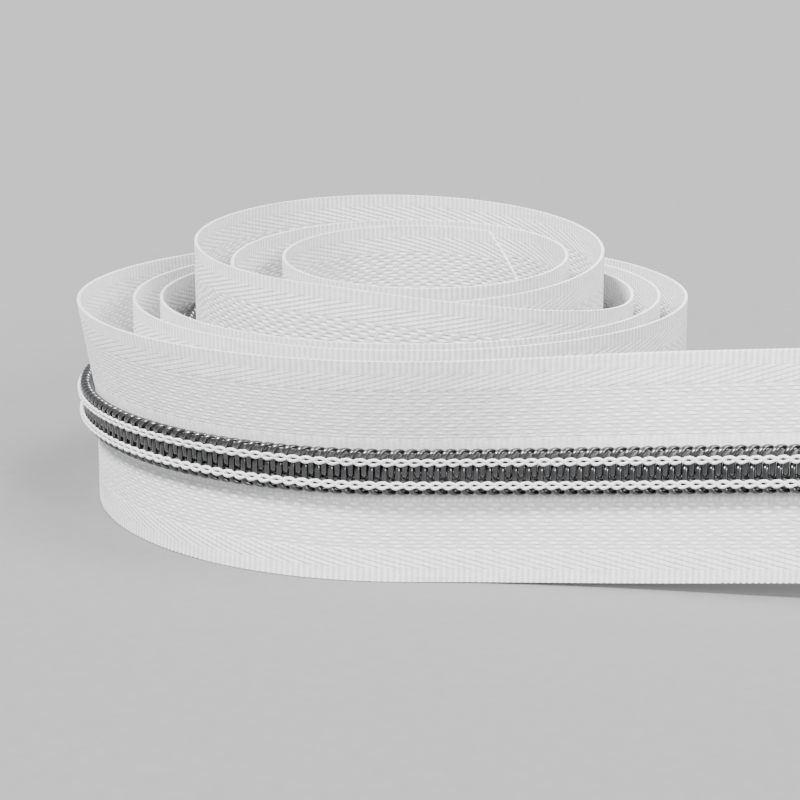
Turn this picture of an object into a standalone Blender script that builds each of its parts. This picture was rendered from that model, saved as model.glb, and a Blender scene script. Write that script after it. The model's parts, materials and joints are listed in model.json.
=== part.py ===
"""A length of coil zipper chain, closed, without sliders, standing on its edge in a loose roll.

Metres, +Z up. The roll stands on the lower selvage at z = 0, the teeth face outwards, and the free
tail leaves the front of the roll towards +X. The chain's cross-section is swept along one path,
which is measured in turns where it is wound (u = 0 at the front, counted inwards) and in negative
shares of the tail's length where it is free (u = -1 at the free end).

The chain is cut into five bodies. Three upright hinges let the outermost quarter turn and the tail
straighten as the roll is unwound, and one hinge across the tape lets the upper half of the free end
part from the lower half. The roll's body has two stretches: the outer turns and the raised core.
"""

import math

import bmesh
import bpy
from mathutils import Vector

# ---------------------------------------------------------------- the chain's cross-section
TAPE_WIDTH = 0.032            # both tapes and the teeth between them, selvage to selvage
TAPE_THICKNESS = 0.0005
TAPE_INNER_EDGE = 0.0013      # from the middle of the chain to each tape's hidden edge
SEAT_WIDTH = 0.0042           # the tape is thinner under the coil, up to here
SEAT_DEPTH = 0.0001
COIL_WIDTH = 0.0034           # from the middle of the chain to the coil's return loops
COIL_THICKNESS = 0.00195
COIL_WALL = 0.0005            # the monofilament that surrounds the filler cord
HEAD_LENGTH = 0.0008          # the interlocked heads, between the filler cord and the middle
CORD_THICKNESS = 0.00055
CORD_WIDTH = 0.0014
THREAD_THICKNESS = 0.00025
NEEDLE_THREAD_WIDTH = 0.0011  # the chain stitch on the teeth
LOOPER_THREAD_WIDTH = 0.0009  # its loops on the back of the tape
THREAD_OFFSET = 0.00165       # from the middle of the chain to the middle of the stitching
CLEARANCE = 0.0002            # between neighbouring pieces

# ---------------------------------------------------------------- the roll
FRONT_RADIUS = 0.0492         # the outermost wrap, from the front to the left
INNER_START_RADIUS = 0.0452   # where the even winding starts, on the right
INNER_START_TURN = 0.75
WRAP_PITCH = 0.00425          # the even winding steps in by this much each turn
FRONT_FLARE = math.tan(math.radians(7.5))  # at the front both selvages stand out past the teeth
LEFT_FLARE = math.tan(math.radians(9.5))  # and on the left only the upper one

# ---------------------------------------------------------------- its raised core
RISE_START_TURN = 2.78        # the core telescopes up out of the roll from here
RISE_TURNS = 0.29
CORE_RISE = 0.0086
CORE_TILT = math.tan(math.radians(3.15))  # it is higher at the back
CORE_EASE_TURNS = 0.5         # its first turn is drawn in to one radius
CORE_RADIUS = 0.03265
CORE_CENTRE = Vector((-0.0007, 0.0013, 0))
SINK_START_TURN = 3.4         # its other turns lie a little lower
SINK_TURNS = 0.67
CORE_SINK = 0.0031
NEST_START_TURN = 3.78        # and wind on round a centre of their own
NEST_EASE_TURNS = 0.8
NEST_RADIUS = 0.0272          # at NEST_RADIUS_TURN
NEST_RADIUS_TURN = 4.0
NEST_CENTRE = Vector((0.0024, 0.0022, 0))
INNER_END_TURN = 5.6          # at the upper selvage; the cut slants from there
CUT_SLANT = 1.0               # of the inner cut end: run along the chain for each unit of height

# ---------------------------------------------------------------- the tail
TAIL_LENGTH = 0.084
TAIL_BEND_LENGTH = 0.040      # the tail is curved and twisted up to here, and flat after it
TAIL_SWING = math.radians(12)
TAIL_SLOPE = math.tan(math.radians(4))
TAIL_LEAN = math.tan(math.radians(10))

# ---------------------------------------------------------------- the bodies
STATIONS_PER_TURN = 16
TURN_STEP = 1 / 360           # over which the path's length per turn is measured
CUT_RINGS = 8                 # in the stretch where the rings tilt towards the slanted cut
JOINT_GAP = 0.0004            # between two bodies, along the chain
STRETCH_TURN = 2.75           # where the roll's outer turns end and its core starts, at a station
TURN_A_START = 0.25           # hinge 1, on the left of the roll
TURN_B_START = 0.125          # hinge 2
TAIL_START = 0.0              # hinge 3, at the front of the roll
PARTING_DISTANCE = 0.062      # along the tail, to the hinge of the upper half of the free end

HALF_WIDTH = TAPE_WIDTH / 2
COIL_BACK = CLEARANCE
COIL_FRONT = COIL_BACK + COIL_THICKNESS
NEEDLE_THREAD_BACK = COIL_FRONT + CLEARANCE
NEEDLE_THREAD_FRONT = NEEDLE_THREAD_BACK + THREAD_THICKNESS
LOOPER_THREAD_FRONT = -TAPE_THICKNESS - CLEARANCE
HINGE_OFFSET = NEEDLE_THREAD_FRONT + CLEARANCE / 2  # outside the tape, so that hinges open freely

# name: colour, roughness, metallic
FINISHES = {
    "tape": ((0.88, 0.88, 0.87), 0.85, 0.0),
    "coil": ((0.20, 0.20, 0.21), 0.28, 0.9),
    "core_cord": ((0.12, 0.12, 0.118), 0.9, 0.0),
    "needle_thread": ((0.92, 0.92, 0.91), 0.7, 0.0),
    "looper_thread": ((0.90, 0.90, 0.89), 0.7, 0.0),
}


def smoothstep(value):
    """0 below 0, 1 above 1, and a smooth step between them."""
    t = min(max(value, 0.0), 1.0)
    return t * t * (3 - 2 * t)


# ---------------------------------------------------------------- the path
def wrap_radius(u):
    """Radius of the tape's outer face at u turns, down to the core."""
    if u >= INNER_START_TURN:
        return INNER_START_RADIUS - WRAP_PITCH * (u - INNER_START_TURN)
    share = smoothstep((u - TURN_A_START) / (INNER_START_TURN - TURN_A_START))
    return FRONT_RADIUS + (INNER_START_RADIUS - FRONT_RADIUS) * share


def wound_point(u, outward):
    """The point of the tape's outer face at u in the roll: even turns, then the core's own."""
    even = outward * wrap_radius(u)
    drawn_in = CORE_CENTRE + outward * CORE_RADIUS
    nested = NEST_CENTRE + outward * (NEST_RADIUS - WRAP_PITCH * (u - NEST_RADIUS_TURN))
    point = even.lerp(drawn_in, smoothstep((u - RISE_START_TURN) / CORE_EASE_TURNS))
    return point.lerp(nested, smoothstep((u - NEST_START_TURN) / NEST_EASE_TURNS))


def path_point(u):
    """The point of the tape's outer face at u, and its outward direction, both level."""
    if u >= 0:
        angle = 2 * math.pi * u
        outward = Vector((-math.sin(angle), -math.cos(angle), 0))
        return wound_point(u, outward), outward
    run = -u * TAIL_LENGTH
    bent = min(run, TAIL_BEND_LENGTH)
    swing = TAIL_SWING * bent / TAIL_BEND_LENGTH
    bend_radius = TAIL_BEND_LENGTH / TAIL_SWING
    point = Vector((math.sin(swing), math.cos(swing) - 1, 0)) * bend_radius
    point += Vector((math.cos(swing), -math.sin(swing), 0)) * (run - bent)
    point.y -= FRONT_RADIUS
    return point, Vector((-math.sin(swing), -math.cos(swing), 0))


def rise(u):
    """Height of the lower selvage above the floor at u."""
    if u < 0:
        run = -u * TAIL_LENGTH
        if run < TAIL_BEND_LENGTH:
            return TAIL_SLOPE * run * run / (2 * TAIL_BEND_LENGTH)
        return TAIL_SLOPE * (run - TAIL_BEND_LENGTH / 2)
    raised = smoothstep((u - RISE_START_TURN) / RISE_TURNS)
    sunk = smoothstep((u - SINK_START_TURN) / SINK_TURNS)
    return raised * (CORE_RISE + CORE_TILT * path_point(u)[0].y) - sunk * CORE_SINK


def lean(u, height):
    """How far this half of the tape leans outwards at u, for each unit of height."""
    front = FRONT_FLARE if height > 0 else -FRONT_FLARE
    left = LEFT_FLARE if height > 0 else 0.0
    if u < 0:
        share = smoothstep(-u * TAIL_LENGTH / TAIL_BEND_LENGTH)
        return front - (TAIL_LEAN + front) * share
    if u < TURN_A_START:
        return front + (left - front) * smoothstep(u / TURN_A_START)
    return left * (1 - smoothstep((u - TURN_A_START) / TURN_A_START))


def chain_point(u, out, height):
    """A point of the chain: out from the tape's outer face, height from the chain's middle."""
    point, outward = path_point(u)
    point = point + outward * (out + lean(u, height) * height)
    point.z = HALF_WIDTH + height + rise(u)
    return point


def turns_along(u, distance):
    """The change of u that moves this far along the tape's outer face."""
    if u < 0:
        return distance / TAIL_LENGTH
    length_per_turn = (path_point(u + TURN_STEP)[0] - path_point(u)[0]).length / TURN_STEP
    return distance / length_per_turn


# ---------------------------------------------------------------- sections
def box_section(out_low, out_high, height_low, height_high):
    """A rectangle, as (out, height) corners."""
    return [
        (out_low, height_low),
        (out_high, height_low),
        (out_high, height_high),
        (out_low, height_high),
    ]


def rounded_section(out_low, out_high, height_low, height_high, corner):
    """A rectangle whose two outer corners are cut off."""
    return [
        (out_low, height_low),
        (out_high - corner, height_low),
        (out_high, height_low + corner),
        (out_high, height_high - corner),
        (out_high - corner, height_high),
        (out_low, height_high),
    ]


def piece_sections():
    """For each piece of the upper half: its outline and, where it is hollow, its inner outline."""
    coil_outline = rounded_section(COIL_BACK, COIL_FRONT, CLEARANCE / 2, COIL_WIDTH, 0.0005)
    coil_hollow = rounded_section(
        COIL_BACK + COIL_WALL,
        COIL_FRONT - COIL_WALL,
        HEAD_LENGTH,
        COIL_WIDTH - COIL_WALL,
        0.00025,
    )
    tape_outline = [
        (-TAPE_THICKNESS, TAPE_INNER_EDGE),
        (-SEAT_DEPTH, TAPE_INNER_EDGE),
        (-SEAT_DEPTH, SEAT_WIDTH),
        (0, SEAT_WIDTH),
        (0, HALF_WIDTH),
        (-TAPE_THICKNESS, HALF_WIDTH),
    ]
    cord_back = (COIL_BACK + COIL_FRONT - CORD_THICKNESS) / 2
    cord_middle = (HEAD_LENGTH + COIL_WIDTH - COIL_WALL) / 2
    needle_half = NEEDLE_THREAD_WIDTH / 2
    looper_half = LOOPER_THREAD_WIDTH / 2
    return {
        "tape": (tape_outline, None),
        "coil": (coil_outline, coil_hollow),
        "core_cord": (
            box_section(
                cord_back,
                cord_back + CORD_THICKNESS,
                cord_middle - CORD_WIDTH / 2,
                cord_middle + CORD_WIDTH / 2,
            ),
            None,
        ),
        "needle_thread": (
            box_section(
                NEEDLE_THREAD_BACK,
                NEEDLE_THREAD_FRONT,
                THREAD_OFFSET - needle_half,
                THREAD_OFFSET + needle_half,
            ),
            None,
        ),
        "looper_thread": (
            box_section(
                LOOPER_THREAD_FRONT - THREAD_THICKNESS,
                LOOPER_THREAD_FRONT,
                THREAD_OFFSET - looper_half,
                THREAD_OFFSET + looper_half,
            ),
            None,
        ),
    }


def lower_half(section):
    """The same section on the lower tape."""
    if section is None:
        return None
    return [(out, -height) for out, height in section]


# ---------------------------------------------------------------- sweeping
def stations(u_start, u_end, slant):
    """Where rings stand, from the outer end of a body to its inner end, as (u, slant) pairs."""
    start = u_start + turns_along(u_start, JOINT_GAP / 2)
    end = u_end - turns_along(u_end, JOINT_GAP / 2)
    if u_start < 0:
        middle = [-TAIL_BEND_LENGTH / TAIL_LENGTH * share for share in (1, 2 / 3, 1 / 3)]
    else:
        first = math.floor(u_start * STATIONS_PER_TURN) + 1
        last = math.ceil(u_end * STATIONS_PER_TURN)
        middle = [i / STATIONS_PER_TURN for i in range(first, last)]
    square = [start] + [u for u in middle if start < u < end]
    if slant == 0:
        return [(u, 0) for u in square + [end]]
    shares = [i / CUT_RINGS for i in range(1, CUT_RINGS + 1)]
    last_square = square[-1]
    slanted = [(last_square + (end - last_square) * share, slant * share) for share in shares]
    return [(u, 0) for u in square] + slanted


def ring(bm, u, outline, slant):
    """The vertices of one outline at u. A slanted ring runs further in as it goes down."""
    verts = []
    for out, height in outline:
        shift = slant * turns_along(u, HALF_WIDTH - height)
        verts.append(bm.verts.new(chain_point(u + shift, out, height)))
    return verts


def join_rings(bm, rings):
    """The wall through a list of rings."""
    for lower, upper in zip(rings, rings[1:]):
        count = len(lower)
        for i in range(count):
            j = (i + 1) % count
            bm.faces.new((lower[i], lower[j], upper[j], upper[i]))


def sweep(name, stops, outline, hollow):
    """A closed solid along the path. A hollow one is open at both of its ends."""
    bm = bmesh.new()
    outer = [ring(bm, u, outline, slant) for u, slant in stops]
    join_rings(bm, outer)
    if hollow is None:
        bm.faces.new(outer[0])
        bm.faces.new(outer[-1])
    else:
        inner = [ring(bm, u, hollow, slant) for u, slant in stops]
        join_rings(bm, inner)
        join_rings(bm, [outer[0], inner[0]])
        join_rings(bm, [outer[-1], inner[-1]])
    bmesh.ops.recalc_face_normals(bm, faces=bm.faces)
    mesh = bpy.data.meshes.new(name)
    bm.to_mesh(mesh)
    bm.free()
    return mesh


# ---------------------------------------------------------------- objects
def make_materials():
    """One material for each finish."""
    materials = {}
    for name, (colour, roughness, metallic) in FINISHES.items():
        material = bpy.data.materials.new(name)
        material.use_nodes = True
        shader = material.node_tree.nodes["Principled BSDF"]
        shader.inputs["Base Color"].default_value = (*colour, 1)
        shader.inputs["Roughness"].default_value = roughness
        shader.inputs["Metallic"].default_value = metallic
        materials[name] = material
    return materials


def make_empty(name, location, parent):
    """An empty that carries one body, at its hinge."""
    empty = bpy.data.objects.new(name, None)
    empty.empty_display_size = 0.01
    bpy.context.collection.objects.link(empty)
    empty.location = location - (parent["place"] if parent else Vector((0, 0, 0)))
    empty.parent = parent["empty"] if parent else None
    return {"empty": empty, "place": location}


def make_piece(name, body, mesh, material):
    """An object on a body's empty, its mesh measured from the hinge."""
    for vertex in mesh.vertices:
        vertex.co -= body["place"]
    mesh.materials.append(material)
    piece = bpy.data.objects.new(name, mesh)
    bpy.context.collection.objects.link(piece)
    piece.parent = body["empty"]
    return piece


def make_body(prefix, body, materials, spans):
    """All pieces of one stretch of chain. spans gives its ends and slant for each half."""
    for half, (u_start, u_end, slant) in spans.items():
        for kind, (outline, hollow) in piece_sections().items():
            name = f"{prefix}_{half}_{kind}"
            stops = stations(u_start, u_end, slant)
            if half == "lower":
                outline, hollow = lower_half(outline), lower_half(hollow)
            mesh = sweep(name, stops, outline, hollow)
            make_piece(name, body, mesh, materials[kind])


def floor_centre():
    """The middle of the whole chain's outline on the floor."""
    bpy.context.view_layer.update()
    corners = [
        item.matrix_world @ vertex.co
        for item in bpy.data.objects
        if item.type == "MESH"
        for vertex in item.data.vertices
    ]
    lows = [min(corner[axis] for corner in corners) for axis in range(2)]
    highs = [max(corner[axis] for corner in corners) for axis in range(2)]
    return Vector(((lows[0] + highs[0]) / 2, (lows[1] + highs[1]) / 2, 0))


def main():
    for item in list(bpy.data.objects):
        bpy.data.objects.remove(item, do_unlink=True)
    materials = make_materials()
    parting = -PARTING_DISTANCE / TAIL_LENGTH

    roll = make_empty("roll", Vector((0, 0, 0)), None)
    turn_a = make_empty("turn_a", chain_point(TURN_A_START, HINGE_OFFSET, 0), roll)
    turn_b = make_empty("turn_b", chain_point(TURN_B_START, HINGE_OFFSET, 0), turn_a)
    tail = make_empty("tail", chain_point(TAIL_START, HINGE_OFFSET, 0), turn_b)
    free_end = make_empty("free_end", chain_point(parting, 0, HALF_WIDTH), tail)

    outer_turns = (TURN_A_START, STRETCH_TURN, 0)
    core = (STRETCH_TURN, INNER_END_TURN, CUT_SLANT)
    quarter_a = (TURN_B_START, TURN_A_START, 0)
    quarter_b = (TAIL_START, TURN_B_START, 0)
    make_body("roll", roll, materials, {"upper": outer_turns, "lower": outer_turns})
    make_body("core", roll, materials, {"upper": core, "lower": core})
    make_body("turn_a", turn_a, materials, {"upper": quarter_a, "lower": quarter_a})
    make_body("turn_b", turn_b, materials, {"upper": quarter_b, "lower": quarter_b})
    tail_spans = {"upper": (parting, TAIL_START, 0), "lower": (-1.0, TAIL_START, 0)}
    make_body("tail", tail, materials, tail_spans)
    make_body("free_end", free_end, materials, {"upper": (-1.0, parting, 0)})

    roll["empty"].location = -floor_centre()


main()
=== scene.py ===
import json
import math

import bpy
import numpy as np
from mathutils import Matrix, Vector


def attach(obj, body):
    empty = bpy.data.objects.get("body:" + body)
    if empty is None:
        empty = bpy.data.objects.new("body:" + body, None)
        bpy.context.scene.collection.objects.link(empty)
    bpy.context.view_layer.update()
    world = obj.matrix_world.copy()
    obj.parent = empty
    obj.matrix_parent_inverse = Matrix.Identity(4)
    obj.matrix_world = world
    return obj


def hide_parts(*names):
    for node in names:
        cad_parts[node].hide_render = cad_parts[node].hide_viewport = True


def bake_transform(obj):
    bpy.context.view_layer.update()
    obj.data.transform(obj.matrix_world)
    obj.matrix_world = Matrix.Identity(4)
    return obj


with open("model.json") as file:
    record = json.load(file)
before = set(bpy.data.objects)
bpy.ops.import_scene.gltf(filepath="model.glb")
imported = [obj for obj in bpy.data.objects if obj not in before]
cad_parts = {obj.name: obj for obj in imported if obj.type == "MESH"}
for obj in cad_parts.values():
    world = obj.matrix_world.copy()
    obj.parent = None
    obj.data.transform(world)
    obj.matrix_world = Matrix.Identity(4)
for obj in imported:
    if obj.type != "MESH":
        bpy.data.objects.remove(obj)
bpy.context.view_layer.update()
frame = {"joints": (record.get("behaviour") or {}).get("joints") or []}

# Everything is built flat first, in the chain's own space: s runs along the chain (0 at the front
# of the roll, positive as it winds inwards, negative in the tail), out is the distance in front of
# the tape, and height is measured from the middle of the teeth. wind() then bends it into the roll.

# ---------------------------------------------------------------- the roll and the tail, as in the CAD
HALF_WIDTH = 0.016
FRONT_RADIUS = 0.0492
INNER_START_RADIUS = 0.0452
INNER_START_TURN = 0.75
LEFT_TURN = 0.25
WRAP_PITCH = 0.00425
FRONT_FLARE = math.tan(math.radians(7.5))
LEFT_FLARE = math.tan(math.radians(9.5))
RISE_START_TURN = 2.78
RISE_TURNS = 0.29
CORE_RISE = 0.0086
CORE_TILT = math.tan(math.radians(3.15))
CORE_EASE_TURNS = 0.5
CORE_RADIUS = 0.03265
CORE_CENTRE = np.array([-0.0007, 0.0013])
SINK_START_TURN = 3.4
SINK_TURNS = 0.67
CORE_SINK = 0.0031
NEST_START_TURN = 3.78
NEST_EASE_TURNS = 0.8
NEST_RADIUS = 0.0272
NEST_RADIUS_TURN = 4.0
NEST_CENTRE = np.array([0.0024, 0.0022])
INNER_END_TURN = 5.6
CUT_SLANT = 1.0
TAIL_LENGTH = 0.084
TAIL_BEND_LENGTH = 0.040
TAIL_SWING = math.radians(12)
TAIL_SLOPE = math.tan(math.radians(4))
TAIL_LEAN = math.tan(math.radians(10))
HINGE_TURNS = {"roll": 0.25, "turn_a": 0.125, "turn_b": 0.0}  # where each body's outer hinge is
PARTING_DISTANCE = 0.062

# ---------------------------------------------------------------- the chain
PITCH = TAIL_LENGTH / 46      # 1.83 mm from tooth to tooth on one coil
TAPE_THICKNESS = 0.0005
TAPE_INNER_EDGE = 0.0013
WEFT_PITCH = PITCH / 2.2      # from weft to weft, which scallops the selvage
FLOAT_LENGTH = 3 * WEFT_PITCH # one repeat of the weave along the tape
ROW_WIDTH = 0.000525          # one row of floats
COIL_LOW_OUT = 0.0002
COIL_HIGH_OUT = 0.00215
COIL_LOW_HEIGHT = -0.0010     # the heads reach past the middle, between the other coil's heads
COIL_HIGH_HEIGHT = 0.0034
FILAMENT_HALF_THICKNESS = 0.0003
FILAMENT_HALF_WIDTH = 0.00042 # along the chain
THREAD_OFFSET = 0.00165
THREAD_RADIUS = 0.00022
YARN_LAY = 0.0011             # the length in which its two plies go once round
YARN_LOBES = 0.14             # how far they stand out of its round section
LINK_LENGTH = 1.12            # of the stitch's links, in pitches
LINK_HALF_WIDTH = 0.00038     # to the middle of the thread
LINK_NECK = 0.3               # share of that width where a link starts
LINK_CLOSED = 0.22            # share of its length where its legs part
LINK_ROUND = 0.62             # share of its length where its rounded end starts
LINK_LIFT = 0.0003            # from the neck, which lies under the last link, to the rounded end
CORD_HALF_THICKNESS = 0.00032
CORD_HALF_WIDTH = 0.0008
CORD_HEIGHT = 0.0019
CORD_LAY = 0.0042             # the length in which its plies go once round
CORD_LOBES = 0.14             # how far they stand out of its round section

# Teeth counted from the front of the roll, where one stretch of chain ends and the next starts.
TAIL_END = -46
PARTING_CUT = -25
TAIL_CUT = 11
TURN_CUT = 33
ROLL_CUT = 60
BEND_HALF = 0.016             # points on the chain this far to both sides of a hinge are found, and not used

joints = {joint["name"]: joint for joint in frame["joints"]}
roll_centre = np.array([joints["unroll_tail"]["pos_m"][0], joints["unroll_a"]["pos_m"][1]])


def smoothstep(value):
    t = np.clip(value, 0.0, 1.0)
    return t * t * (3 - 2 * t)


# ---------------------------------------------------------------- winding
def wrap_radius(u):
    """Radius of the tape's outer face at u turns inwards, down to the core."""
    even = INNER_START_RADIUS - WRAP_PITCH * (u - INNER_START_TURN)
    share = smoothstep((u - LEFT_TURN) / (INNER_START_TURN - LEFT_TURN))
    outer = FRONT_RADIUS + (INNER_START_RADIUS - FRONT_RADIUS) * share
    return np.where(u >= INNER_START_TURN, even, outer)


def wound_points(u, outward):
    """Points of the tape's outer face in the roll: even turns, then the core's own."""
    even = outward * wrap_radius(u)[..., None]
    drawn_in = CORE_CENTRE + outward * CORE_RADIUS
    nested = NEST_CENTRE + outward * (NEST_RADIUS - WRAP_PITCH * (u - NEST_RADIUS_TURN))[..., None]
    in_core = smoothstep((u - RISE_START_TURN) / CORE_EASE_TURNS)[..., None]
    in_nest = smoothstep((u - NEST_START_TURN) / NEST_EASE_TURNS)[..., None]
    return (even * (1 - in_core) + drawn_in * in_core) * (1 - in_nest) + nested * in_nest


def level_path(u):
    """Points of the tape's outer face, seen from above, and the outward directions there."""
    angle = 2 * math.pi * np.maximum(u, 0)
    wound_out = np.stack([-np.sin(angle), -np.cos(angle)], -1)
    wound = wound_points(np.maximum(u, 0), wound_out)
    run = np.maximum(-u, 0) * TAIL_LENGTH
    bent = np.minimum(run, TAIL_BEND_LENGTH)
    swing = TAIL_SWING * bent / TAIL_BEND_LENGTH
    bend_radius = TAIL_BEND_LENGTH / TAIL_SWING
    straight = run - bent
    free = np.stack(
        [
            np.sin(swing) * bend_radius + np.cos(swing) * straight,
            (np.cos(swing) - 1) * bend_radius - np.sin(swing) * straight - FRONT_RADIUS,
        ],
        -1,
    )
    free_out = np.stack([-np.sin(swing), -np.cos(swing)], -1)
    inside = (u >= 0)[..., None]
    return np.where(inside, wound, free), np.where(inside, wound_out, free_out)


TABLE_TURNS = np.linspace(0, INNER_END_TURN + 1, 40001)
TABLE_STEPS = np.linalg.norm(np.diff(level_path(TABLE_TURNS)[0], axis=0), axis=1)
TABLE_LENGTHS = np.concatenate([[0], np.cumsum(TABLE_STEPS)])


def turns_at(s):
    """The turn that lies s metres along the chain."""
    return np.where(s < 0, s / TAIL_LENGTH, np.interp(s, TABLE_LENGTHS, TABLE_TURNS))


def length_at(u):
    """The length along the chain at u turns."""
    return float(np.interp(u, TABLE_TURNS, TABLE_LENGTHS)) if u >= 0 else u * TAIL_LENGTH


def rise(u, level_y):
    """Height of the lower selvage above the floor."""
    run = np.maximum(-u, 0) * TAIL_LENGTH
    bent = np.minimum(run, TAIL_BEND_LENGTH)
    tail = TAIL_SLOPE * (bent * bent / (2 * TAIL_BEND_LENGTH) + run - bent)
    raised = smoothstep((u - RISE_START_TURN) / RISE_TURNS)
    sunk = smoothstep((u - SINK_START_TURN) / SINK_TURNS)
    return np.where(u < 0, tail, raised * (CORE_RISE + CORE_TILT * level_y) - sunk * CORE_SINK)


def lean(u, height):
    """How far each half of the tape leans outwards, for each unit of height."""
    front = np.where(height > 0, FRONT_FLARE, -FRONT_FLARE)
    left = np.where(height > 0, LEFT_FLARE, 0.0)
    run = np.maximum(-u, 0) * TAIL_LENGTH
    tail = front - (TAIL_LEAN + front) * smoothstep(run / TAIL_BEND_LENGTH)
    towards_left = front + (left - front) * smoothstep(u / LEFT_TURN)
    past_left = left * (1 - smoothstep((u - LEFT_TURN) / LEFT_TURN))
    return np.where(u < 0, tail, np.where(u < LEFT_TURN, towards_left, past_left))


def wind(flat):
    """World positions of points given flat, as rows of s, out and height."""
    s, out, height = flat[:, 0], flat[:, 1], flat[:, 2]
    u = turns_at(s)
    level, outward = level_path(u)
    reach = out + lean(u, height) * height
    world = np.empty((len(flat), 3))
    world[:, :2] = level + outward * reach[:, None] + roll_centre
    world[:, 2] = HALF_WIDTH + height + rise(u, level[:, 1])
    return world


def point_on_path(s):
    """The world point on the tape's outer face, at the middle of the teeth."""
    return Vector(wind(np.array([[s, 0.0, 0.0]]))[0])


CHAIN_END = length_at(INNER_END_TURN)


def cut_end(height):
    """Where the slanted inner end of the chain lies at a height."""
    return CHAIN_END + CUT_SLANT * (HALF_WIDTH - height)


# ---------------------------------------------------------------- mesh building
CAP_ANGLE = math.radians(75)  # only the edges of the end caps are sharper than this


def make_mesh(name, flat, faces, marks, material):
    """A piece from flat points and quads. marks are the coordinates its material reads."""
    mesh = bpy.data.meshes.new(name)
    mesh.from_pydata([], [], [])
    points = wind(flat).astype(np.float32)
    faces = np.asarray(faces, np.int32)
    mesh.vertices.add(len(points))
    mesh.vertices.foreach_set("co", points.ravel())
    mesh.loops.add(faces.size)
    mesh.loops.foreach_set("vertex_index", faces.ravel())
    mesh.polygons.add(len(faces))
    mesh.polygons.foreach_set("loop_start", np.arange(0, faces.size, faces.shape[1], dtype=np.int32))
    mesh.polygons.foreach_set("loop_total", np.full(len(faces), faces.shape[1], np.int32))
    mesh.polygons.foreach_set("use_smooth", np.ones(len(faces), bool))
    mesh.update(calc_edges=True)
    mesh.validate()
    mesh.set_sharp_from_angle(angle=CAP_ANGLE)
    attribute = mesh.attributes.new("flat", "FLOAT_VECTOR", "POINT")
    attribute.data.foreach_set("vector", np.asarray(marks, np.float32).ravel())
    mesh.materials.append(material)
    piece = bpy.data.objects.new(name, mesh)
    bpy.context.scene.collection.objects.link(piece)
    return piece


def ring_faces(rings, sides, flip):
    """Quads between successive closed rings of the same number of points."""
    i = np.arange(rings - 1)[:, None] * sides
    j = np.arange(sides)[None, :]
    k = (j + 1) % sides
    quads = np.stack([i + j, i + k, i + sides + k, i + sides + j], -1).reshape(-1, 4)
    return quads[:, ::-1] if flip else quads


def tube(centres, tangents, across, along_radius, side_radius, sides, side):
    """Flat points, quads and marks of one tube. across is a direction roughly square to it."""
    first = np.cross(tangents, across)
    first /= np.linalg.norm(first, axis=1, keepdims=True)
    second = np.cross(tangents, first)
    second /= np.linalg.norm(second, axis=1, keepdims=True)
    angles = np.arange(sides) * 2 * math.pi / sides
    ring = (
        centres[:, None, :]
        + first[:, None, :] * (np.cos(angles)[None, :, None] * along_radius[:, None, None])
        + second[:, None, :] * (np.sin(angles)[None, :, None] * side_radius[:, None, None])
    )
    steps = np.linalg.norm(np.diff(centres, axis=0), axis=1)
    travelled = np.concatenate([[0], np.cumsum(steps)])
    marks = np.empty((len(centres), sides, 3))
    marks[:, :, 0] = travelled[:, None]
    marks[:, :, 1] = np.cos(angles)[None, :]
    marks[:, :, 2] = np.sin(angles)[None, :]
    quads = ring_faces(len(centres), sides, side > 0)
    points = ring.reshape(-1, 3)
    return points, close_tube(quads, len(points), sides, side), marks.reshape(-1, 3)


def close_tube(quads, count, sides, side):
    """A tube's quads with its two end caps, as quads across the first and the last ring."""
    last = count - sides
    caps = []
    for start, turned in ((0, side > 0), (last, side <= 0)):
        for i in range(sides // 2 - 1):
            quad = [start + i, start + i + 1, start + sides - 2 - i, start + sides - 1 - i]
            caps.append(quad if turned else quad[::-1])
    return np.concatenate([quads, np.array(caps)])


def gather(parts):
    """Several flat meshes as one."""
    points, quads, marks, count = [], [], [], 0
    for part_points, part_quads, part_marks in parts:
        points.append(part_points)
        quads.append(part_quads + count)
        marks.append(part_marks)
        count += len(part_points)
    return np.concatenate(points), np.concatenate(quads), np.concatenate(marks)


def tangents_of(centres):
    """Unit directions along a line of points."""
    direction = np.gradient(centres, axis=0)
    return direction / np.linalg.norm(direction, axis=1, keepdims=True)


# ---------------------------------------------------------------- the tape
SELVAGE_START = 0.0140
TWILL_START = 0.0115
TWILL_PERIOD = 0.00068        # from one slanting line to the next, across the tape
TWILL_FLOOR = 0.0003          # the twill starts over this width
PLAIN_END = 0.0046            # beside the coil the weave is flat
ROW_DRIFT = 0.16              # every other pair of rows is shifted by this share of a float's repeat
DRIFT_SWAY = 0.07             # the floats' places sway by this share of a repeat
SWAY_LENGTH = 0.0067          # in this length along the tape
SWAY_TURN = 2.4               # and by this angle from row to row
FLOAT_SHARE = 0.56            # of a repeat, covered by the float
FLOAT_RAMP = 0.14             # of a repeat, over which it rises and dips
TWILL_SHARE = 0.75            # of a repeat, covered by a slanting line
FRONT_FLOOR = -0.00012        # the weave's gaps on the tape's front
RELIEF_DEPTH = 0.00016        # from the gaps to the top of the yarns
BACK_RELIEF = 0.4             # the back's relief as a share of the front's
SMOOTH_FRONT = -0.00003       # the front where the weave is in the material only
SCALLOP = 0.00013             # how far the selvage dips between two wefts
SELVAGE_ROUND = 0.00002       # how far its rounded corners lie inside its edge
SELVAGE_FRONT = -0.00016      # and where they lie in front of its middle
SELVAGE_BACK = -0.00038       # and behind it
HEM = 0.0001                  # the last column of the weave lies this far inside the selvage
INNER_ROUND = 0.00008         # the hidden edge's middle stands out by this much
FINE_COLUMNS = 72
COARSE_COLUMNS = 15
CUT_EASE = 0.03               # the slant of the inner end is eased in over this length


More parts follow.
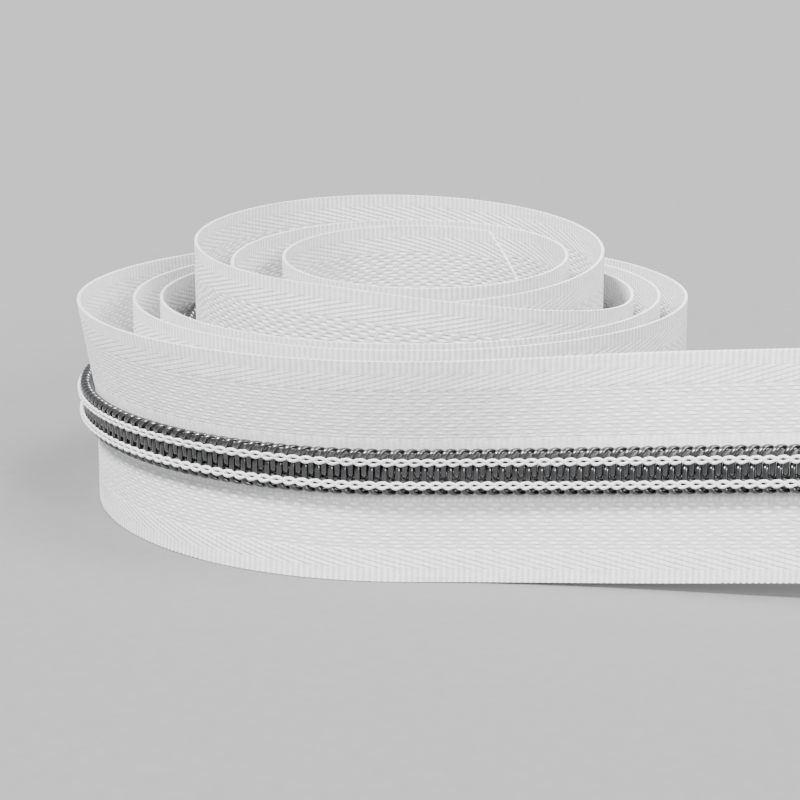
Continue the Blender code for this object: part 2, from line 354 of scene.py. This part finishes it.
def weave_relief(s, height):
    """The tape's surface relief, 0 in the gaps and 1 on top of the yarns."""
    row = np.floor(height / ROW_WIDTH)
    across = np.sqrt(np.sin(math.pi * (height / ROW_WIDTH - row)))
    sway = np.sin(2 * math.pi * s / SWAY_LENGTH + SWAY_TURN * row)
    shift = 0.5 * (row % 2) + ROW_DRIFT * (row // 2 % 2) + DRIFT_SWAY * sway
    along = (s / FLOAT_LENGTH + shift) % 1.0
    bar = smoothstep(along / FLOAT_RAMP) * smoothstep((FLOAT_SHARE - along) / FLOAT_RAMP)
    floats = 0.1 + 0.9 * bar * across
    slant = (s / FLOAT_LENGTH + (height - TWILL_START) / TWILL_PERIOD) % 1.0
    line = smoothstep(slant / FLOAT_RAMP) * smoothstep((TWILL_SHARE - slant) / FLOAT_RAMP)
    rib = 0.5 + 0.5 * np.sin(2 * math.pi * s / WEFT_PITCH)
    twilled = 0.25 + 0.45 * line + 0.3 * rib
    in_plain = smoothstep((PLAIN_END - height) / TWILL_FLOOR)
    in_twill = smoothstep((height - TWILL_START) / TWILL_FLOOR)
    in_selvage = smoothstep((height - SELVAGE_START) / TWILL_FLOOR)
    relief = floats + in_plain * (0.35 + 0.3 * rib - floats)
    relief = relief + in_twill * (twilled - relief)
    return relief + in_selvage * (0.4 + 0.6 * rib - relief)


def tape_section(fine):
    """Heights of the columns over the tape's width, from its hidden edge to its selvage."""
    columns = FINE_COLUMNS if fine else COARSE_COLUMNS
    return np.linspace(TAPE_INNER_EDGE, HALF_WIDTH - HEM, columns)


def tape(name, side, first, last, fine, material):
    """One stretch of one tape. side is 1 for the upper tape and -1 for the lower one."""
    step = WEFT_PITCH / (4 if fine else 2)
    ends_in_roll = last is None
    start = first * PITCH
    end = CHAIN_END if ends_in_roll else last * PITCH
    count = int(round((end - start) / step)) + 1
    s_line = np.linspace(start, end, count)
    heights = tape_section(fine)
    edge = HALF_WIDTH - SCALLOP * (0.5 - 0.5 * np.cos(2 * math.pi * s_line / WEFT_PITCH))
    edge_round = edge[:, None] - SELVAGE_ROUND
    s_grid, height_grid = np.meshgrid(s_line, heights, indexing="ij")
    relief = weave_relief(s_grid, height_grid)
    front = np.full_like(relief, SMOOTH_FRONT)
    back = np.full_like(relief, -TAPE_THICKNESS)
    if fine:
        front = FRONT_FLOOR + RELIEF_DEPTH * relief
        back = back - RELIEF_DEPTH * BACK_RELIEF * (relief - 0.5)
    middle = -TAPE_THICKNESS / 2
    # ring: front columns, rounded selvage, back columns in reverse, hidden edge
    out_ring = np.concatenate(
        [front, np.full((count, 1), SELVAGE_FRONT), np.full((count, 1), middle),
         np.full((count, 1), SELVAGE_BACK), back[:, ::-1], np.full((count, 1), middle)], 1)
    height_ring = np.concatenate(
        [height_grid, edge_round, edge[:, None], edge_round,
         height_grid[:, ::-1], np.full((count, 1), TAPE_INNER_EDGE - INNER_ROUND)], 1)
    s_ring = np.repeat(s_line[:, None], out_ring.shape[1], 1)
    if ends_in_roll:
        share = smoothstep((s_ring - (CHAIN_END - CUT_EASE)) / CUT_EASE)
        s_ring = s_ring + share * CUT_SLANT * (HALF_WIDTH - side * height_ring)
    sides = out_ring.shape[1]
    flat = np.stack([s_ring, out_ring, side * height_ring], -1).reshape(-1, 3)
    quads = ring_faces(count, sides, side > 0)
    columns = len(heights)
    caps = []
    for start_index, turned in ((0, side > 0), ((count - 1) * sides, side < 0)):
        front_index = np.arange(columns + 1)
        back_index = 2 * columns + 2 - front_index
        ladder = np.stack([front_index[:-1], front_index[1:], back_index[1:], back_index[:-1]], -1)
        ladder = ladder + start_index
        caps.append(ladder if turned else ladder[:, ::-1])
    quads = np.concatenate([quads, *caps])
    marks = np.stack([s_ring, side * height_ring, out_ring], -1).reshape(-1, 3)
    return make_mesh(name, flat, quads, marks, material)


# ---------------------------------------------------------------- the coil
LOOP_SWEEP = 0.25             # 0: the return loops cross evenly, 1: they cross at their top
HEAD_FLATNESS = 0.75          # a head's height as a share of a half circle's
HEAD_THINNING = 0.1           # the filament is pressed thinner there by this share
HEAD_SPREAD = 0.04            # and wider by this share


def coil_turn(bend_steps, leg_steps):
    """One turn of the coil's centreline: offset in s, out, height, and 1 at the head's tip.

    It starts on the front leg, goes round the outer return loop to the next tooth's back leg, and
    round that tooth's head to its front leg.
    """
    radius = (COIL_HIGH_OUT - COIL_LOW_OUT) / 2 - FILAMENT_HALF_THICKNESS
    middle_out = (COIL_HIGH_OUT + COIL_LOW_OUT) / 2
    top = COIL_HIGH_HEIGHT - FILAMENT_HALF_THICKNESS - radius
    bottom = COIL_LOW_HEIGHT + FILAMENT_HALF_THICKNESS + radius * HEAD_FLATNESS
    points = []
    for i in range(leg_steps):
        share = i / leg_steps
        points.append((0.0, middle_out + radius, bottom + (top - bottom) * share, 0.0))
    for i in range(bend_steps):
        share = i / bend_steps
        angle = math.pi * share
        shift = -PITCH * (share - math.sin(2 * angle) / (2 * math.pi) * LOOP_SWEEP)
        out = middle_out + radius * math.cos(angle)
        points.append((shift, out, top + radius * math.sin(angle), 0.0))
    for i in range(leg_steps):
        share = i / leg_steps
        points.append((-PITCH, middle_out - radius, top + (bottom - top) * share, 0.0))
    for i in range(bend_steps):
        share = i / bend_steps
        angle = math.pi * share
        head = math.sin(angle)
        out = middle_out - radius * math.cos(angle)
        points.append((-PITCH, out, bottom - HEAD_FLATNESS * radius * head, head))
    return np.array(points)


def coil(name, side, first, last, fine, material):
    """One stretch of one coil, whose turns advance by a pitch in the outer return loops."""
    turn = coil_turn(9, 3) if fine else coil_turn(6, 2)
    sides = 12 if fine else 8
    middle = 0.0 if side > 0 else PITCH / 2
    tooth_heights = side * (COIL_HIGH_HEIGHT + COIL_LOW_HEIGHT) / 2
    if last is None:
        last = int((cut_end(tooth_heights) - middle) / PITCH)
    teeth = np.arange(last, first, -1)
    s = (teeth[:, None] * PITCH - middle + turn[None, :, 0]).ravel()
    s = np.append(s, s[0] - len(teeth) * PITCH)
    out = np.append(np.tile(turn[:, 1], len(teeth)), turn[0, 1])
    height = np.append(np.tile(turn[:, 2], len(teeth)), turn[0, 2])
    head = np.append(np.tile(turn[:, 3], len(teeth)), turn[0, 3])
    centres = np.stack([s, out, side * height], -1)
    points, quads, marks = tube(
        centres,
        tangents_of(centres),
        np.array([1.0, 0.0, 0.0]),
        FILAMENT_HALF_THICKNESS * (1 - HEAD_THINNING * head),
        FILAMENT_HALF_WIDTH * (1 + HEAD_SPREAD * head),
        sides,
        1,
    )
    return make_mesh(name, points, quads, marks, material)


# ---------------------------------------------------------------- the stitching
NECK_PLACE = {1: 0.49, -1: 1.14}  # from a tooth to its link's neck, in pitches, on each side
LOOPER_OFFSET = 0.00012       # how far the looper thread lies behind the tape
LOOPER_DIP = 0.00022          # between two stitches it stands out by this much more
LOOPER_SWAY = 0.00012         # and sways by this much
LOOPER_HALF_GAP = 0.00016     # from the middle of the row to each of its two threads
LOOPER_THINNESS = 0.95        # its radius as a share of the needle thread's


def stitch_link(steps):
    """One link of the chain stitch: a pinched neck, two legs that open, and a rounded end."""
    angle = np.linspace(0, 2 * math.pi, steps)[:-1]
    share = 0.5 - 0.5 * np.cos(angle)
    parting = smoothstep((share - LINK_CLOSED) / (LINK_ROUND - LINK_CLOSED))
    legs = LINK_NECK + (1 - LINK_NECK) * parting
    rounded = np.sqrt(np.clip(1 - ((share - LINK_ROUND) / (1 - LINK_ROUND)) ** 2, 0, 1))
    opening = LINK_HALF_WIDTH * np.where(share < LINK_ROUND, legs, rounded) * np.sign(np.sin(angle))
    along = LINK_LENGTH * PITCH * share
    return np.stack([along, LINK_LIFT * (share - 0.35), opening], -1)


def needle_thread(name, side, first, last, fine, material):
    """The chain stitch on the teeth: each link goes through the rounded end of the one before."""
    link = stitch_link(31 if fine else 15)
    sides = 10 if fine else 6
    if last is None:
        last = int((cut_end(side * THREAD_OFFSET) - PITCH) / PITCH)
    neck = NECK_PLACE[side] * PITCH
    parts = []
    for tooth in range(first + 1, last + 1):
        centres = link.copy()
        centres[:, 0] += tooth * PITCH - neck
        centres[:, 1] += COIL_HIGH_OUT + THREAD_RADIUS
        centres[:, 2] += side * THREAD_OFFSET
        direction = np.roll(centres, -1, 0) - np.roll(centres, 1, 0)
        direction /= np.linalg.norm(direction, axis=1, keepdims=True)
        parts.append(loop_tube(centres, direction, THREAD_RADIUS, sides))
    points, quads, marks = gather(parts)
    return make_mesh(name, points, quads, marks, material)


def loop_tube(centres, tangents, radius, sides):
    """A closed loop of tube."""
    up = np.array([0.0, 1.0, 0.0])
    first = np.cross(tangents, up)
    first /= np.linalg.norm(first, axis=1, keepdims=True)
    second = np.cross(tangents, first)
    angles = np.arange(sides) * 2 * math.pi / sides
    steps = np.linalg.norm(centres - np.roll(centres, 1, 0), axis=1)
    along = np.cumsum(steps)
    lobes = np.cos(2 * angles[None, :] - 2 * math.pi * along[:, None] / YARN_LAY)
    reach = radius * (1 + YARN_LOBES * lobes)[:, :, None]
    ring = (
        centres[:, None, :]
        + first[:, None, :] * np.cos(angles)[None, :, None] * reach
        + second[:, None, :] * np.sin(angles)[None, :, None] * reach
    )
    count = len(centres)
    i = np.arange(count)[:, None]
    n = (i + 1) % count
    j = np.arange(sides)[None, :]
    k = (j + 1) % sides
    quads = np.stack([i * sides + j, i * sides + k, n * sides + k, n * sides + j], -1).reshape(-1, 4)
    marks = np.empty((count, sides, 3))
    marks[:, :, 0] = along[:, None]
    marks[:, :, 1] = np.cos(angles)[None, :]
    marks[:, :, 2] = np.sin(angles)[None, :]
    return ring.reshape(-1, 3), quads, marks.reshape(-1, 3)


def looper_thread(name, side, first, last, fine, material):
    """The stitches on the back of the tape: a low line that dips into the tape at each pitch."""
    steps = 8 if fine else 4
    if last is None:
        last = int(cut_end(side * THREAD_OFFSET) / PITCH) - 1
    s = np.arange(first * PITCH, last * PITCH + 1e-9, PITCH / steps)
    dip = np.abs(np.sin(math.pi * s / PITCH))
    out = -TAPE_THICKNESS - LOOPER_OFFSET - LOOPER_DIP * dip
    sway = LOOPER_SWAY * np.sin(2 * math.pi * s / PITCH)
    parts = []
    for shift in (-1, 1):
        height = side * THREAD_OFFSET + shift * (LOOPER_HALF_GAP + sway)
        centres = np.stack([s, out, height], -1)
        radius = np.full(len(s), THREAD_RADIUS * LOOPER_THINNESS)
        across = np.array([0.0, 1.0, 0.0])
        parts.append(tube(centres, tangents_of(centres), across, radius, radius, 6, 1))
    points, quads, marks = gather(parts)
    return make_mesh(name, points, quads, marks, material)


def core_cord(name, side, first, last, fine, material):
    """The filler cord inside the coil, three plies laid around each other."""
    sides = 12
    step = PITCH / 4 if fine else PITCH / 3
    if last is None:
        last = int(cut_end(side * THREAD_OFFSET) / PITCH)
    s = np.arange(first * PITCH, last * PITCH + 1e-9, step)
    out = np.full(len(s), (COIL_LOW_OUT + COIL_HIGH_OUT) / 2)
    height = np.full(len(s), side * CORD_HEIGHT)
    angles = np.arange(sides) * 2 * math.pi / sides
    lobes = 1 + CORD_LOBES * np.cos(3 * (angles[None, :] - 2 * math.pi * s[:, None] / CORD_LAY))
    ring_out = out[:, None] + CORD_HALF_THICKNESS * lobes * np.cos(angles)[None, :]
    ring_height = height[:, None] + CORD_HALF_WIDTH * lobes * np.sin(angles)[None, :]
    flat = np.stack([np.repeat(s[:, None], sides, 1), ring_out, ring_height], -1).reshape(-1, 3)
    marks = np.stack(
        [np.repeat(s[:, None], sides, 1),
         np.repeat(np.cos(angles)[None, :], len(s), 0),
         np.repeat(np.sin(angles)[None, :], len(s), 0)], -1).reshape(-1, 3)
    quads = ring_faces(len(s), sides, False)
    quads = close_tube(quads, len(flat), sides, 0)
    return make_mesh(name, flat, quads, marks, material)


# ---------------------------------------------------------------- materials
WHOLE_REPEATS = 500.0         # keeps the weave's coordinate positive in the tail


class Nodes:
    """A short way to write a material's node tree."""

    def __init__(self, name):
        self.material = bpy.data.materials.new(name)
        self.material.use_nodes = True
        self.tree = self.material.node_tree
        self.shader = self.tree.nodes["Principled BSDF"]

    def add(self, kind, **settings):
        node = self.tree.nodes.new(kind)
        for key, value in settings.items():
            setattr(node, key, value)
        return node

    def link(self, source, target):
        if isinstance(source, (int, float)):
            target.default_value = source
        else:
            self.tree.links.new(source, target)

    def math(self, operation, a, b=0.0, c=0.0):
        node = self.add("ShaderNodeMath", operation=operation)
        for value, socket in zip((a, b, c), node.inputs):
            self.link(value, socket)
        return node.outputs[0]

    def flat(self):
        """The flat coordinates that the mesh carries, as three separate numbers."""
        attribute = self.add("ShaderNodeAttribute", attribute_name="flat")
        split = self.add("ShaderNodeSeparateXYZ")
        self.link(attribute.outputs["Vector"], split.inputs[0])
        return split.outputs

    def vector(self, x, y, z=0.0):
        node = self.add("ShaderNodeCombineXYZ")
        for value, socket in zip((x, y, z), node.inputs):
            self.link(value, socket)
        return node.outputs[0]

    def noise(self, vector, scale, detail=2.0):
        node = self.add("ShaderNodeTexNoise")
        self.link(vector, node.inputs["Vector"])
        node.inputs["Scale"].default_value = scale
        node.inputs["Detail"].default_value = detail
        return node.outputs["Fac"]

    def pulse(self, shift, s, covered):
        """The weave's floats along s: 1 over the covered share of each repeat, 0 in between."""
        repeat = self.math("ADD", self.math("DIVIDE", s, FLOAT_LENGTH), shift)
        along = self.math("FRACT", self.math("ADD", repeat, WHOLE_REPEATS))
        rising = self.math("MINIMUM", self.math("DIVIDE", along, FLOAT_RAMP), 1.0)
        falling = self.math("DIVIDE", self.math("SUBTRACT", covered, along), FLOAT_RAMP)
        return self.math("MAXIMUM", self.math("MINIMUM", rising, falling), 0.0)

    def scatter(self, x, y):
        """A random number between 0 and 1 for each whole x and y."""
        node = self.add("ShaderNodeTexWhiteNoise", noise_dimensions="2D")
        self.link(self.vector(x, y), node.inputs["Vector"])
        return node.outputs["Value"]

    def choose(self, test, otherwise, chosen):
        """One number where the test is 0 and another where it is 1."""
        change = self.math("SUBTRACT", chosen, otherwise)
        return self.math("MULTIPLY_ADD", test, change, otherwise)

    def ramp(self, factor, stops):
        node = self.add("ShaderNodeValToRGB")
        self.link(factor, node.inputs["Fac"])
        elements = node.color_ramp.elements
        for element, (position, colour) in zip(elements, stops):
            element.position = position
            element.color = (*colour, 1)
        return node.outputs["Color"]

    def bump(self, height, distance, strength):
        node = self.add("ShaderNodeBump")
        self.link(height, node.inputs["Height"])
        node.inputs["Distance"].default_value = distance
        node.inputs["Strength"].default_value = strength
        self.link(node.outputs["Normal"], self.shader.inputs["Normal"])


def tape_material():
    """White woven polyester: rows of short floats, a twill band and a ribbed selvage."""
    nodes = Nodes("woven_tape")
    s, height, _ = nodes.flat()
    away = nodes.math("ABSOLUTE", height)
    rows = nodes.math("DIVIDE", away, ROW_WIDTH)
    row = nodes.math("FLOOR", rows)
    across = nodes.math("SINE", nodes.math("MULTIPLY", nodes.math("FRACT", rows), math.pi))
    pair = nodes.math("FLOOR", nodes.math("MULTIPLY", row, 0.5))
    stagger = nodes.math("MULTIPLY", nodes.math("MODULO", row, 2.0), 0.5)
    drift = nodes.math("MULTIPLY", nodes.math("MODULO", pair, 2.0), ROW_DRIFT)
    swaying = nodes.math("ADD", nodes.math("MULTIPLY", s, 2 * math.pi / SWAY_LENGTH),
                         nodes.math("MULTIPLY", row, SWAY_TURN))
    shift = nodes.math("MULTIPLY_ADD", nodes.math("SINE", swaying), DRIFT_SWAY,
                       nodes.math("ADD", stagger, drift))
    floats = nodes.pulse(shift, s, FLOAT_SHARE)
    repeat = nodes.math("FLOOR", nodes.math("ADD", nodes.math("DIVIDE", s, FLOAT_LENGTH), shift))
    uneven = nodes.scatter(repeat, nodes.math("FLOOR", nodes.math("DIVIDE", height, ROW_WIDTH)))
    floats = nodes.math("MULTIPLY", floats, nodes.math("POWER", across, 0.5))
    slant = nodes.math("DIVIDE", nodes.math("SUBTRACT", away, TWILL_START), TWILL_PERIOD)
    line = nodes.pulse(slant, s, TWILL_SHARE)
    rib = nodes.math("SINE", nodes.math("MULTIPLY", s, 2 * math.pi / WEFT_PITCH))
    rib = nodes.math("MULTIPLY_ADD", rib, 0.5, 0.5)
    twilled = nodes.math("ADD", nodes.math("MULTIPLY", line, 0.5), nodes.math("MULTIPLY", rib, 0.4))
    flat_rib = nodes.math("MULTIPLY_ADD", rib, 0.4, 0.3)
    weave = nodes.choose(nodes.math("LESS_THAN", away, PLAIN_END), floats, flat_rib)
    weave = nodes.choose(nodes.math("GREATER_THAN", away, TWILL_START), weave, twilled)
    weave = nodes.choose(nodes.math("GREATER_THAN", away, SELVAGE_START), weave, rib)
    place = nodes.vector(s, height)
    fuzz = nodes.noise(place, 5200.0, 3.0)
    slub = nodes.noise(nodes.vector(nodes.math("MULTIPLY", s, 0.35), height), 900.0, 2.0)
    relief = nodes.math("ADD", weave, nodes.math("MULTIPLY", fuzz, 0.4))
    relief = nodes.math("ADD", relief, nodes.math("MULTIPLY", slub, 0.3))
    nodes.bump(relief, 0.00018, 1.0)
    # Colour: darker in the weave's gaps and lighter on its floats, twill lines and ribs, which is
    # painted shade; the slubs and the float-to-float scatter add random tone.
    gap_shade_and_tone = nodes.math("ADD", nodes.math("MULTIPLY", weave, 0.7), nodes.math("MULTIPLY", slub, 0.4))
    gap_shade_and_tone = nodes.math("MULTIPLY_ADD", nodes.math("MULTIPLY", uneven, weave), -0.3, gap_shade_and_tone)
    nodes.link(nodes.ramp(gap_shade_and_tone, [(0.1, (0.62, 0.62, 0.615)), (0.7, (0.94, 0.94, 0.935))]),
               nodes.shader.inputs["Base Color"])
    rough = nodes.math("MULTIPLY_ADD", fuzz, 0.2, 0.66)
    nodes.link(rough, nodes.shader.inputs["Roughness"])
    nodes.shader.inputs["Sheen Weight"].default_value = 0.25
    nodes.shader.inputs["Sheen Roughness"].default_value = 0.5
    return nodes.material


def coil_material():
    """Metallised nylon: dark, bright on its highlights, with faint draw lines along the filament."""
    nodes = Nodes("metallised_coil")
    along, cosine, sine = nodes.flat()
    around = nodes.math("ARCTAN2", sine, cosine)
    lines = nodes.noise(nodes.vector(nodes.math("MULTIPLY", along, 60.0),
                                     nodes.math("MULTIPLY", around, 1.6)), 3.0, 2.0)
    cloud = nodes.noise(nodes.vector(along, nodes.math("MULTIPLY", cosine, 0.0002)), 700.0, 2.0)
    nodes.link(nodes.ramp(cloud, [(0.3, (0.055, 0.055, 0.057)), (0.7, (0.105, 0.105, 0.109))]),
               nodes.shader.inputs["Base Color"])
    nodes.link(nodes.math("MULTIPLY_ADD", lines, 0.14, 0.22), nodes.shader.inputs["Roughness"])
    nodes.shader.inputs["Metallic"].default_value = 1.0
    nodes.shader.inputs["Coat Weight"].default_value = 0.9
    nodes.shader.inputs["Coat Roughness"].default_value = 0.12
    nodes.bump(lines, 0.00001, 0.3)
    return nodes.material


def thread_material(name, light, groove_shade, plies, lay):
    """Twisted yarn. lay is the length in which a ply goes once round."""
    nodes = Nodes(name)
    along, cosine, sine = nodes.flat()
    around = nodes.math("ARCTAN2", sine, cosine)
    phase = nodes.math("MULTIPLY_ADD", along, 2 * math.pi * plies / lay,
                       nodes.math("MULTIPLY", around, plies))
    ply = nodes.math("ABSOLUTE", nodes.math("SINE", nodes.math("MULTIPLY", phase, 0.5)))
    fibre = nodes.noise(nodes.vector(nodes.math("MULTIPLY", along, 9000.0), around), 1.2, 2.0)
    relief = nodes.math("ADD", ply, nodes.math("MULTIPLY", fibre, 0.3))
    nodes.bump(relief, 0.00005, 0.6)
    # The colour darkens from the tops of the plies into the grooves between them: painted shade.
    nodes.link(nodes.ramp(relief, [(0.15, groove_shade), (0.9, light)]), nodes.shader.inputs["Base Color"])
    nodes.link(nodes.math("MULTIPLY_ADD", fibre, 0.2, 0.55), nodes.shader.inputs["Roughness"])
    nodes.shader.inputs["Sheen Weight"].default_value = 0.2
    return nodes.material


def floor_material():
    """Pale matt paper."""
    nodes = Nodes("floor_paper")
    place = nodes.add("ShaderNodeTexCoord").outputs["Object"]
    grain = nodes.noise(place, 400.0, 3.0)
    nodes.link(nodes.ramp(grain, [(0.3, (0.20, 0.20, 0.203)), (0.7, (0.213, 0.213, 0.216))]),
               nodes.shader.inputs["Base Color"])
    nodes.shader.inputs["Roughness"].default_value = 0.9
    return nodes.material


# ---------------------------------------------------------------- putting the chain together
MAKERS = {
    "tape": tape,
    "coil": coil,
    "core_cord": core_cord,
    "needle_thread": needle_thread,
    "looper_thread": looper_thread,
}


def hinge_length(joint):
    """How far along the chain a hinge stands."""
    return {
        "unroll_a": length_at(HINGE_TURNS["roll"]),
        "unroll_b": length_at(HINGE_TURNS["turn_a"]),
        "unroll_tail": 0.0,
        "part_free_end": -PARTING_DISTANCE,
    }[joint]


def stretches():
    """name, halves, first and last tooth, fineness, the CAD groups it stands for, and its joint."""
    both, upper, lower = (1, -1), (1,), (-1,)
    return [
        ("roll", both, ROLL_CUT, None, False, ("roll", "core"), None),
        ("turn_a", both, TURN_CUT, ROLL_CUT, True, ("turn_a",), "unroll_a"),
        ("turn_b", both, TAIL_CUT, TURN_CUT, True, ("turn_b",), "unroll_b"),
        ("tail", upper, PARTING_CUT, TAIL_CUT, True, ("tail",), "unroll_tail"),
        ("tail", lower, TAIL_END, TAIL_CUT, True, ("tail",), "unroll_tail"),
        ("free_end", upper, TAIL_END, PARTING_CUT, True, ("free_end",), "part_free_end"),
    ]


def build_chain(materials):
    for prefix, sides, first, last, fine, groups, joint in stretches():
        for side in sides:
            half = "upper" if side > 0 else "lower"
            for kind, make in MAKERS.items():
                piece = make(f"{prefix}_{half}_{kind}_skin", side, first, last, fine, materials[kind])
                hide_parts(*[f"{group}_{half}_{kind}" for group in groups])
                if joint is None:
                    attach(piece, prefix)
                    continue
                at = hinge_length(joint)
                point_on_path(at + BEND_HALF)
                point_on_path(at - BEND_HALF)
                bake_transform(piece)


# ---------------------------------------------------------------- stage
def add_sun(name, direction, strength, spread):
    """A soft light that is the same all over the floor. direction points towards the light."""
    light = bpy.data.lights.new(name, "SUN")
    light.energy = strength
    light.angle = math.radians(spread)
    lamp = bpy.data.objects.new(name, light)
    bpy.context.scene.collection.objects.link(lamp)
    lamp.rotation_euler = Vector(direction).to_track_quat("Z", "Y").to_euler()
    return lamp


FLOOR_HALF = 12.0             # wide enough to fill the background


def build_stage():
    mesh = bpy.data.meshes.new("floor")
    half = FLOOR_HALF
    mesh.from_pydata([(-half, -half, 0), (half, -half, 0), (half, half, 0), (-half, half, 0)], [],
                     [(0, 1, 2, 3)])
    mesh.materials.append(floor_material())
    floor = bpy.data.objects.new("floor", mesh)
    bpy.context.scene.collection.objects.link(floor)
    world = bpy.data.worlds.new("studio")
    world.use_nodes = True
    world.node_tree.nodes["Background"].inputs["Color"].default_value = (0.85, 0.87, 0.9, 1)
    world.node_tree.nodes["Background"].inputs["Strength"].default_value = 0.7
    bpy.context.scene.world = world
    add_sun("key", (-0.5, -0.45, 1.0), 8.5, 12)
    add_sun("front_fill", (0.7, -1.0, 0.6), 3.0, 18)
    add_sun("right_top", (0.55, -0.1, 1.0), 3.2, 30)


CAMERA_ASIDE = -0.00063       # from the roll's centre
CAMERA_BACK = -0.3506
CAMERA_HEIGHT = 0.1005
CAMERA_DOWN = 13.88           # degrees below the level
CAMERA_LENS = 100.3           # millimetres, on a sensor 36 wide


def build_camera():
    """A long lens a little above the roll, level with its middle."""
    camera = bpy.data.cameras.new("camera")
    camera.sensor_width = 36.0
    camera.lens = CAMERA_LENS
    camera.clip_start = 0.01
    item = bpy.data.objects.new("camera", camera)
    bpy.context.scene.collection.objects.link(item)
    item.location = (roll_centre[0] + CAMERA_ASIDE, roll_centre[1] + CAMERA_BACK, CAMERA_HEIGHT)
    item.rotation_euler = (math.radians(90 - CAMERA_DOWN), 0, 0)
    bpy.context.scene.camera = item


def main():
    build_camera()
    materials = {
        "tape": tape_material(),
        "coil": coil_material(),
        # The filler cord is coloured near black: painted shade for the shadow deep inside the coil,
        # not the cord's own colour.
        "core_cord": thread_material(
            "filler_cord_painted_shade", (0.12, 0.12, 0.118), (0.03, 0.03, 0.029), 3, CORD_LAY),
        "needle_thread": thread_material(
            "needle_thread", (0.90, 0.90, 0.89), (0.62, 0.62, 0.61), 3, YARN_LAY),
        "looper_thread": thread_material(
            "looper_thread", (0.88, 0.88, 0.87), (0.60, 0.60, 0.59), 3, YARN_LAY),
    }
    build_chain(materials)
    build_stage()


main()
bpy.context.view_layer.update()
